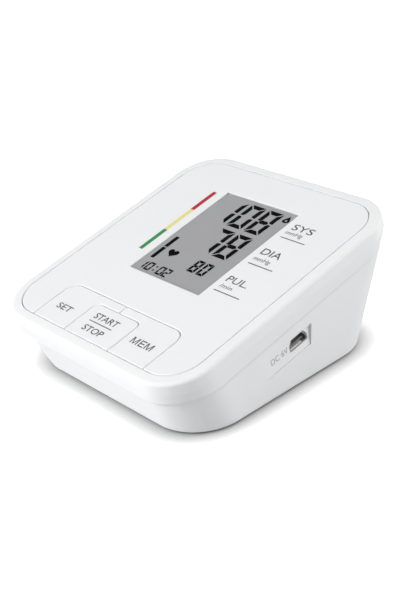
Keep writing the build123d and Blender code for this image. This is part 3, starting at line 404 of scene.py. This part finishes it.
def batteryMaterial(finish):
    # Shrink-wrapped cell: bare steel at both ends, a dark band next to each, and green between them
    material, tree, shader = startMaterial("cellWrap")
    low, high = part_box("battery_1")
    parts = addNode(tree, "ShaderNodeSeparateXYZ", None, {0: objectPlace(tree)})
    ramp = addNode(tree, "ShaderNodeValToRGB", None, {0: rescale(tree, parts.outputs["X"], (low.x, high.x))})
    bands = ramp.color_ramp
    bands.interpolation = "CONSTANT"
    while len(bands.elements) < len(finish["bands"]):
        bands.elements.new(0.5)
    for element, (position, colour) in zip(bands.elements, finish["bands"]):
        element.position = position
        element.color = (*colour, 1.0)
    tree.links.new(ramp.outputs[0], shader.inputs["Base Color"])
    grain = useGroup(tree, grainGroup, finish["grain"])
    setRoughness(tree, shader, grain.outputs["Tone"], finish["roughness"])
    setInputs(shader, {"Metallic": finish["metallic"]})
    return material


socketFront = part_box("power_socket")[1].x
# the shell's two colours are painted light and shade: the lighter one deep in the socket, where it is shaded,
# the darker one at its mouth
shell = {"grain": {"Scale": 2500.0, "Coarse": 0.5}, "paintedLightDeep": (0.88, 0.88, 0.87),
         "paintedShadeMouth": (0.28, 0.28, 0.28), "depths": (5.0, 2.0), "roughness": (0.5, 0.62), "metallic": 0.2}


def shellMaterial(finish):
    # Drawn socket shell with painted light and shade: lighter deep inside, where the socket is shaded, and
    # darker towards the rim, where it catches light. The colour changes between two depths behind the
    # socket's front, in mm
    material, tree, shader = startMaterial("socketSteel")
    parts = addNode(tree, "ShaderNodeSeparateXYZ", None, {0: objectPlace(tree)})
    reach = rescale(tree, parts.outputs["X"], [socketFront - depth * mm for depth in finish["depths"]])
    tree.links.new(blend(tree, reach, finish["paintedLightDeep"], finish["paintedShadeMouth"]), shader.inputs["Base Color"])
    grain = useGroup(tree, grainGroup, finish["grain"])
    setRoughness(tree, shader, grain.outputs["Tone"], finish["roughness"])
    setInputs(shader, {"Metallic": finish["metallic"]})
    return material


finishes["socketSteel"] = shellMaterial(shell)
finishes["windowLens"] = windowMaterial(lens)
finishes["crystalGrey"] = cellMaterial(crystal)
finishes["solderMask"] = boardMaterial(board)
finishes["cellWrap"] = batteryMaterial(wrap)

nodeFinish = {
    "caseShell": ("top_case", "bottom_case", "battery_door"),
    "panelGloss": ("face_panel",),
    "keyCap": ("set_key", "start_stop_key", "mem_key"),
    "windowLens": ("display_window",),
    "crystalGrey": ("display_cell",),
    "trayShell": ("display_tray",),
    "zebraRubber": ("zebra_strip",),
    "darkBody": ("set_switch", "start_stop_switch", "mem_switch", "processor", "buzzer",
                 "pressure_sensor"),
    "tongueBody": ("power_tongue",),
    "plungerBody": ("set_plunger", "start_stop_plunger", "mem_plunger"),
    "solderMask": ("main_board", "power_board"),
    "screwSteel": ("board_screws", "case_screws"),
    "socketSteel": ("power_socket",),
    "motorSteel": ("pump_motor",),
    "pumpBody": ("pump_head",),
    "sleeveRubber": ("pump_sleeve",),
    "valveSteel": ("release_valve",),
    "fittingBody": ("air_tee", "air_socket_nut"),
    "socketBody": ("air_socket",),
    "tubeSilicone": ("socket_tube", "valve_tube", "pump_tube", "sensor_tube"),
    "cellWrap": ("battery_1", "battery_2", "battery_3", "battery_4"),
    "contactSteel": ("contacts_left", "contacts_right"),
    "footRubber": ("front_left_foot", "front_right_foot", "rear_left_foot", "rear_right_foot"),
}
for finishName, members in nodeFinish.items():
    for member in members:
        slots = nodes[member].data.materials
        if len(slots):
            for index in range(len(slots)):
                slots[index] = finishes[finishName]
        else:
            slots.append(finishes[finishName])
print("finishes on", sum(len(members) for members in nodeFinish.values()), "pieces")

# printed ink: speckle is the share by which its tone breaks up, and spread how far its roughness wanders
inkUsual = {"speckle": 0.08, "gloss": 0.4, "grain": {"Scale": 6000.0, "Coarse": 0.3}, "spread": 0.05}
inkSetup = {
    "inkDark": {"colour": (0.085, 0.088, 0.095), "roughness": 0.45},
    "inkGrey": {"colour": (0.13, 0.134, 0.14), "roughness": 0.45},
    "inkLine": {"colour": (0.10, 0.103, 0.11), "roughness": 0.45},
    "inkFaint": {"colour": (0.38, 0.38, 0.385), "roughness": 0.5},
    "inkGreen": {"colour": (0.04, 0.27, 0.09), "roughness": 0.4},
    "inkYellow": {"colour": (0.79, 0.70, 0.28), "roughness": 0.4},
    "inkRed": {"colour": (0.44, 0.03, 0.045), "roughness": 0.4},
    "segmentOn": {"colour": (0.0015, 0.0015, 0.002), "roughness": 0.5, "speckle": 0.2, "gloss": 0.02},
}


def inkMaterial(name, own):
    # Pad-printed ink: its tone and gloss break up slightly in fine speckles
    finish = {**inkUsual, **own}
    material, tree, shader = startMaterial(name)
    grain = useGroup(tree, grainGroup, finish["grain"]).outputs
    darker = tuple(part * (1 - finish["speckle"]) for part in finish["colour"])
    lighter = tuple(min(1.0, part * (1 + finish["speckle"])) for part in finish["colour"])
    tree.links.new(blend(tree, grain["Height"], darker, lighter), shader.inputs["Base Color"])
    rough, spread = finish["roughness"], finish["spread"]
    setRoughness(tree, shader, grain["Tone"], (rough - spread, rough + spread))
    setInputs(shader, {"Specular IOR Level": finish["gloss"]})
    return material


inks = {name: inkMaterial(name, setup) for name, setup in inkSetup.items()}


# making pieces
def addPiece(name, mesh, material, body):
    # A finished mesh gets its object, its material, its body and its slot
    mesh.update()
    mesh.materials.clear()
    mesh.materials.append(material)
    piece = bpy.data.objects.new(name, mesh)
    scene.collection.objects.link(piece)
    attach(piece, body)


def addSolid(name, shape, material, body):
    # A piece from a shape, which is its points and its faces
    points, faces = shape
    mesh = bpy.data.meshes.new(name)
    mesh.from_pydata(points.tolist(), [], faces)
    addPiece(name, mesh, material, body)


def prisms(outlines, place, low, high):
    # Each outline, given anticlockwise, becomes a closed plate between two levels
    points, faces, start = [], [], 0
    for outline in outlines:
        count = len(outline)
        points += [place(outline, low), place(outline, high)]
        ring = np.arange(count)
        after = (ring + 1) % count
        faces.append((start + ring[::-1]).tolist())
        faces.append((start + count + ring).tolist())
        faces += (start + np.column_stack((ring, after, after + count, ring + count))).tolist()
        start += 2 * count
    return np.vstack(points), faces


def ringPlate(outer, inner, place, levels):
    # A closed band between two outlines of the same number of points
    count = len(outer)
    points = np.vstack([place(line, level) for line in (outer, inner) for level in levels])
    ring = np.arange(count)
    after = (ring + 1) % count
    quads = [np.column_stack((ring + count, after + count, after + 3 * count, ring + 3 * count)),
             np.column_stack((ring, ring + 2 * count, after + 2 * count, after)),
             np.column_stack((ring, after, after + count, ring + count)),
             np.column_stack((ring + 2 * count, ring + 3 * count, after + 3 * count, after + 2 * count))]
    return points, np.vstack(quads).tolist()


def box(left, right, low, high):
    # The four corners of an upright rectangle, anticlockwise
    return np.array(((left, low), (right, low), (right, high), (left, high)))


inkLevels = (-0.02, 0.03)  # from just inside the surface to just above it, in mm
letterForm = {"capUnits": 0.729, "curveSteps": 4, "joinDistance": 1e-5}  # capUnits is the font's cap height


def letterMesh(name, words, weight):
    # Text of unit size as a closed mesh, half a unit thick on either side of zero
    curve = bpy.data.curves.new(name, "FONT")
    curve.body = words
    curve.size = 1.0
    curve.resolution_u = letterForm["curveSteps"]
    curve.extrude = 0.5
    curve.offset = weight
    source = bpy.data.objects.new(name + "_source", curve)
    scene.collection.objects.link(source)
    bpy.context.view_layer.update()
    mesh = bpy.data.meshes.new_from_object(source.evaluated_get(bpy.context.evaluated_depsgraph_get()))
    bpy.data.objects.remove(source)
    bpy.data.curves.remove(curve)
    work = bmesh.new()
    work.from_mesh(mesh)
    bmesh.ops.remove_doubles(work, verts=work.verts, dist=letterForm["joinDistance"])
    bmesh.ops.recalc_face_normals(work, faces=work.faces)
    work.to_mesh(mesh)
    work.free()
    return mesh


def addText(name, words, span, place, ink, body, weight=0.0):
    # Letters stretched between two ends and scaled to a cap height: span is left, right, baseline, cap
    mesh = letterMesh(name, words, weight)
    flat = np.empty(len(mesh.vertices) * 3)
    mesh.vertices.foreach_get("co", flat)
    flat = flat.reshape(-1, 3)
    left, right, baseline, cap = span
    x = (flat[:, 0] - flat[:, 0].min()) / np.ptp(flat[:, 0]) * (right - left) + left
    s = flat[:, 1] / letterForm["capUnits"] * cap + baseline
    level = np.where(flat[:, 2] > 0, inkLevels[1], inkLevels[0])
    mesh.vertices.foreach_set("co", place(np.column_stack((x, s)), level).ravel())
    addPiece(name, mesh, inks[ink], body)


def addPrint(name, outlines, ink, body="housing"):
    # Flat outlines printed on the panel or on a key
    addSolid(name, prisms(outlines, onPanel, *inkLevels), inks[ink], body)


# legends on the keys: the words' left and right ends, baseline and cap height
keyLegends = {
    "weight": 0.006,
    "words": (("legend_set", "SET", (-28.6, -19.8, -33.6, 3.2), "set_button"),
              ("legend_start", "START", (-7.7, 6.2, -30.5, 3.3), "start_stop_button"),
              ("legend_stop", "STOP", (-6.8, 5.05, -37.55, 3.2), "start_stop_button")),
    "line": (-7.7, 6.0, -32.4, -32.0),
}
for name, words, span, body in keyLegends["words"]:
    addText(name, words, span, onPanel, "inkDark", body, keyLegends["weight"])


def letterM(left, width, height, stroke):
    # Upright outer legs and a vee between them
    middle, point, slant = width / 2, 0.45 * stroke, 1.4 * stroke
    notch, dip = 0.82 * height, 0.16 * height
    return np.array(((0, 0), (stroke, 0), (stroke, notch), (middle - point, 0), (middle + point, 0),
                     (width - stroke, notch), (width - stroke, 0), (width, 0), (width, height),
                     (width - slant, height), (middle, dip), (slant, height), (0, height))) + (left, 0)


def letterE(left, width, height, stroke):
    # An upright with three bars, the middle one a little shorter
    low, high, short = (height - stroke) / 2, (height + stroke) / 2, 0.92 * width
    return np.array(((0, 0), (width, 0), (width, stroke), (stroke, stroke), (stroke, low), (short, low),
                     (short, high), (stroke, high), (stroke, height - stroke), (width, height - stroke),
                     (width, height), (0, height))) + (left, 0)


memory = {"height": 3.4, "stroke": 0.5, "baseline": -33.3,
          "letters": ((letterM, 18.1, 3.65), (letterE, 22.65, 2.75), (letterM, 26.05, 3.65))}
addPrint("legend_mem", [shape(left, width, memory["height"], memory["stroke"]) + (0.0, memory["baseline"])
                        for shape, left, width in memory["letters"]], "inkDark", "mem_button")
addPrint("legend_start_line", [box(*keyLegends["line"])], "inkDark", "start_stop_button")

# legends beside the display, and the lines under them
sideLegends = {
    "words": (("legend_sys", "SYS", (25.6, 36.6, 49.0, 3.9), "inkDark"),
              ("legend_sys_unit", "mmHg", (25.4, 34.1, 45.8, 2.3), "inkGrey"),
              ("legend_dia", "DIA", (25.3, 35.6, 30.95, 4.0), "inkDark"),
              ("legend_dia_unit", "mmHg", (25.4, 34.1, 26.9, 2.3), "inkGrey"),
              ("legend_pul", "PUL.", (25.2, 36.4, 11.45, 3.8), "inkDark"),
              ("legend_pul_unit", "/min", (25.3, 32.0, 7.7, 2.3), "inkGrey")),
    "lines": ((25.4, 38.4, 43.05, 43.5), (25.3, 38.6, 24.2, 24.65), (24.9, 39.0, 5.25, 5.7)),
}
for name, words, span, ink in sideLegends["words"]:
    addText(name, words, span, onPanel, ink, "housing")
addPrint("legend_side_lines", [box(*line) for line in sideLegends["lines"]], "inkLine")

# scale bar on the other side, each colour between its lower and upper end
scaleBar = {"sides": (-26.85, -24.65),
            "parts": {"Green": (10.8, 25.6), "Yellow": (25.6, 41.6), "Red": (41.6, 55.7)}}
for colour, ends in scaleBar["parts"].items():
    outline = box(*scaleBar["sides"], *ends)
    addPrint("scale_" + colour.lower(), [outline], "ink" + colour)
print("legends and scale placed")

# display: a digit has seven bars, a at its top, b to f clockwise from there, and g in the middle
segmentSets = {
    "0": "abcdef", "1": "bc", "2": "abged", "3": "abgcd", "4": "fgbc", "5": "afgcd", "6": "afgedc",
    "7": "abc", "8": "abcdefg", "9": "abcdfg",
}
display = {
    "lean": math.radians(2.6),
    "cellTop": -0.65,  # level of the cell's front glass
    "barEnds": {"blunt": 0.7, "left": 0.62, "right": 0.86},  # shares of a bar's thickness
    "rows": {  # digits, their left ends, baseline, then width, height, thickness and gap
        "segments_sys": ("108", (-14.0, -3.7, 6.5), 40.1, (8.5, 16.1, 2.25, 0.85)),
        "segments_dia": ("78", (-4.0, 6.2), 21.6, (8.5, 16.1, 2.25, 0.85)),
        "segments_pul": ("80", (4.15, 9.35), 9.4, (4.15, 7.7, 1.31, 0.3)),
        "segments_time": ("1002", (-18.6, -14.5, -7.4, -3.8), 1.8, (3.3, 5.15, 0.9, 0.2)),
    },
    "blocks": {
        "segments_colon": ((-9.7, -8.8, 2.8, 3.6), (-9.6, -8.7, 5.1, 5.9)),
        "segments_level": ((-17.9, -15.8, 17.3, 24.6), (-17.9, -15.8, 9.2, 16.7)),
    },
    "heart": (-10.2, 15.0, 5.7, 4.8),  # middle, width and height, as for the drop's two outlines
    "heartPoints": 40,
    "drop": ((19.05, 54.1, 3.4, 4.8), (19.05, 53.4, 1.1, 1.5)),
    "dropPoints": 32,
}
segmentLevels = tuple(display["cellTop"] + level for level in inkLevels)


def digitBars(width, height, thick, gap):
    # Seven bars, the digit's lower left corner at zero: the top one is mitred at both ends, the upright ones
    # end bluntly at half height, and the middle one is pointed and stops short of them. Others are mirrored
    half, mid, space = thick / 2, height / 2, gap / 2
    ends = display["barEnds"]
    blunt, left, right = ends["blunt"] * thick, ends["left"] * thick, width - ends["right"] * thick
    top = np.array(((thick + space, height - thick), (width - thick - space, height - thick),
                    (width - space, height), (space, height)))
    side = np.array(((0, mid + space), (blunt, mid + space), (thick, mid + thick - blunt + space),
                     (thick, height - thick - space), (0, height - space)))
    middle = np.array(((left, mid), (left + half, mid - half), (right - half, mid - half),
                       (right, mid), (right - half, mid + half), (left + half, mid + half)))
    across, over = np.array((width, 0)), np.array((0, height))
    flipX, flipS = np.array((-1, 1)), np.array((1, -1))
    return {
        "a": top,
        "f": side,
        "b": (side * flipX + across)[::-1],
        "d": (top * flipS + over)[::-1],
        "e": (side * flipS + over)[::-1],
        "c": side * flipX * flipS + across + over,
        "g": middle,
    }


def digitRow(text, starts, baseline, size):
    # Outlines of the bars of a row of digits: x grows with the height by the tangent of the lean
    bars = digitBars(*size)
    leaning = np.array(((1.0, 0.0), (math.tan(display["lean"]), 1.0)))
    return [bars[letter] @ leaning + (start, baseline)
            for number, start in zip(text, starts) for letter in segmentSets[number]]


def heartOutline(x, s, width, height):
    # Heart curve round its middle: across is the cube of a sine, up a sum of cosines fitted to the height
    turn = np.linspace(0, 2 * np.pi, display["heartPoints"], endpoint=False)[::-1]
    across = np.sin(turn) ** 3
    up = 13 * np.cos(turn) - 5 * np.cos(2 * turn) - 2 * np.cos(3 * turn) - np.cos(4 * turn)
    up = (up - up.min()) / np.ptp(up) - 0.5
    return np.column_stack((x + across * width / 2, s + up * height))


def dropOutline(x, s, width, height):
    # Drop curve round its middle: up is a sine, and across a cosine that draws in towards the top
    turn = np.linspace(0, 2 * np.pi, display["dropPoints"], endpoint=False)
    widest = 1.3  # what the product below reaches at most
    across = np.cos(turn) * (1 - np.sin(turn)) / widest
    return np.column_stack((x + across * width / 2, s + np.sin(turn) * height / 2))


def addSegments(name, shape):
    # Dark segments on the cell, under the window
    addSolid(name, shape, inks["segmentOn"], "housing")


for name, row in display["rows"].items():
    addSegments(name, prisms(digitRow(*row), onPanel, *segmentLevels))
for name, blocks in display["blocks"].items():
    addSegments(name, prisms([box(*block) for block in blocks], onPanel, *segmentLevels))
addSegments("segments_heart", prisms([heartOutline(*display["heart"])], onPanel, *segmentLevels))
addSegments("segments_drop", ringPlate(*(dropOutline(*outline) for outline in display["drop"]), onPanel,
                                       segmentLevels))
print("display segments placed")

# bright strip along the lower wall of the power socket, a painted highlight of the shell's lower inner edge:
# its outline in mm from the middle of the mouth, whose y and z are in metres
socketHighlight = {"middle": (0.0012, 0.02126), "outline": (-4.25, 1.8, -2.15, -1.68), "levels": (-1.4, -0.15)}
onSocket = onWall((socketFront, *socketHighlight["middle"]), (0.0, cosSlope, sinSlope),
                  (0.0, -sinSlope, cosSlope))
# painted highlight: a bright strip on the socket's lower wall
addSolid("socket_highlight_strip", prisms([box(*socketHighlight["outline"])], onSocket, *socketHighlight["levels"]),
         finishes["paintedHighlightSteel"], "housing")

# marking beside the power socket, on the floor of its recess: y and z of its two ends and an x outside the
# wall, all in metres, and its cap height in mm
recessMark = {"front": (-0.0132, 0.01675), "back": (-0.0041, 0.01866), "outside": 0.09, "cap": 2.7}


def hitWall(spot):
    # First point of the lower shell on a ray that comes from the right, and its outward direction
    start = Vector((recessMark["outside"], *spot))
    return nodes["bottom_case"].ray_cast(start, Vector((-1.0, 0.0, 0.0)))[1:3]


markStart = hitWall(recessMark["front"])[0]
markEnd, markNormal = hitWall(recessMark["back"])
markAlong = markEnd - markStart
onRecess = onWall(markStart, markAlong, markNormal.cross(markAlong))
markSpan = (0.0, markAlong.length / mm, 0.0, recessMark["cap"])
addText("legend_power", "DC 6V", markSpan, onRecess, "inkFaint", "housing")
print("power marking placed")

# the four case screws' cross recesses as thin dark plates of painted shade, and the arrow moulded on the
# battery door, all in mm
underSetup = {
    "screws": ((38.0, 40.5, 27.19), (-38.0, 40.5, 27.19), (-42.75, -42.1, 9.49), (42.75, -42.1, 9.49)),
    "crossReach": 1.35,
    "crossHalf": 0.3,
    "crossLevels": (-0.02, 0.02),
    "door": 0.6,
    "arrow": ((14.0, -22.5), (16.5, -18.0), (19.0, -22.5)),
    "arrowLevels": (-0.02, 0.2),
}
onUnderside = onWall((0.0, 0.0, 0.0), (1.0, 0.0, 0.0), (0.0, -1.0, 0.0))


def crossOutline(reach, half):
    # Three corners of one arm, turned by a quarter for each of the four
    arm = np.array(((half, half), (half, reach), (-half, reach)))
    quarter = np.array(((0, 1), (-1, 0)))
    return np.vstack([arm @ np.linalg.matrix_power(quarter, turns) for turns in range(4)])


cross = crossOutline(underSetup["crossReach"], underSetup["crossHalf"])
low, high = underSetup["crossLevels"]
# painted shade: a thin dark plate at each screw stands for the shade in its cross recess
for number, (x, y, z) in enumerate(underSetup["screws"]):
    addSolid(f"screw_cross_painted_shade_{number + 1}", prisms([cross + (x, -y)], onUnderside, low - z, high - z),
             inks["inkDark"], "housing")
arrow = np.array(underSetup["arrow"]) * (1, -1)
arrowLevels = [level - underSetup["door"] for level in underSetup["arrowLevels"]]
arrowShape = prisms([arrow], onUnderside, *arrowLevels)
addSolid("door_arrow", arrowShape, finishes["caseShell"], "door")
print("underside marks placed")

# floor
floorSetup = {
    "radius": 6.0,
    "corners": 64,
    "seen": (0.97, 0.97, 0.97),
    "bounce": (0.58, 0.58, 0.585),
    "contact": {"samples": 8, "Distance": 0.010},
    # painted contact shadow: its colour, and how sharply it follows the occlusion
    "paintedShadowColour": (0.25, 0.25, 0.255),
    "paintedShadowFall": 1.3,
    "glow": 0.4,
    "grain": {"Scale": 500.0, "Coarse": 0.5},
    "roughness": (0.85, 0.95),
    "specular": 0.1,
}


def addFloor(setup):
    # A flat disc under the object. Its paper is whiter to the eye than in the light that it throws back, and
    # a painted contact shadow makes it darker and stops its glow close to the object, where ambient occlusion
    # finds the object near
    corners = setup["corners"]
    turn = np.linspace(0, 2 * np.pi, corners, endpoint=False)
    rim = np.column_stack((np.cos(turn), np.sin(turn), np.zeros(corners))) * setup["radius"]
    mesh = bpy.data.meshes.new("floor")
    mesh.from_pydata(rim.tolist(), [], [list(range(corners))])
    material, tree, shader = startMaterial("floorPaper")
    seen = addNode(tree, "ShaderNodeLightPath").outputs["Is Camera Ray"]
    contact = addNode(tree, "ShaderNodeAmbientOcclusion", setup["contact"])
    # painted contact shadow: near the object the paper darkens towards the shadow colour and its glow fades
    clear = combine(tree, "POWER", (contact.outputs["AO"], setup["paintedShadowFall"]))
    paper = blend(tree, clear, setup["paintedShadowColour"], setup["seen"])
    tree.links.new(blend(tree, seen, setup["bounce"], paper), shader.inputs["Base Color"])
    glow = combine(tree, "MULTIPLY", (seen, clear))
    tree.links.new(combine(tree, "MULTIPLY", (glow, setup["glow"])), shader.inputs["Emission Strength"])
    grain = useGroup(tree, grainGroup, setup["grain"])
    rough = rescale(tree, grain.outputs["Tone"], (0.0, 1.0), setup["roughness"])
    tree.links.new(rough, shader.inputs["Roughness"])
    setInputs(shader, {"Specular IOR Level": setup["specular"], "Emission Color": white})
    mesh.materials.append(material)
    floor = bpy.data.objects.new("floor", mesh)
    scene.collection.objects.link(floor)


# lights: name, place, size and power of each
lightSetup = {
    "aim": (0.0, 0.0, 0.02),
    "world": 0.166,
    "lights": (
        ("keyLight", (-0.50, -1.20, 0.55), 1.3, 24.9),
        ("fillLight", (1.00, 0.90, 0.50), 1.2, 17.2),
        ("topLight", (0.10, 0.20, 1.30), 1.2, 4.6),
    ),
}


def addLight(name, place, size, power):
    # A square light, turned so that it looks at the aim
    data = bpy.data.lights.new(name, "AREA")
    data.shape = "SQUARE"
    data.size = size
    data.energy = power
    light = bpy.data.objects.new(name, data)
    light.location = place
    light.rotation_euler = (Vector(lightSetup["aim"]) - Vector(place)).to_track_quat("-Z", "Y").to_euler()
    scene.collection.objects.link(light)


addFloor(floorSetup)
for lightRow in lightSetup["lights"]:
    addLight(*lightRow)
world = bpy.data.worlds.new("world")
scene.world = world
world.use_nodes = True
setInputs(world.node_tree.nodes["Background"], {"Color": white, "Strength": lightSetup["world"]})
scene.view_settings.view_transform = "Standard"
print("room lit")
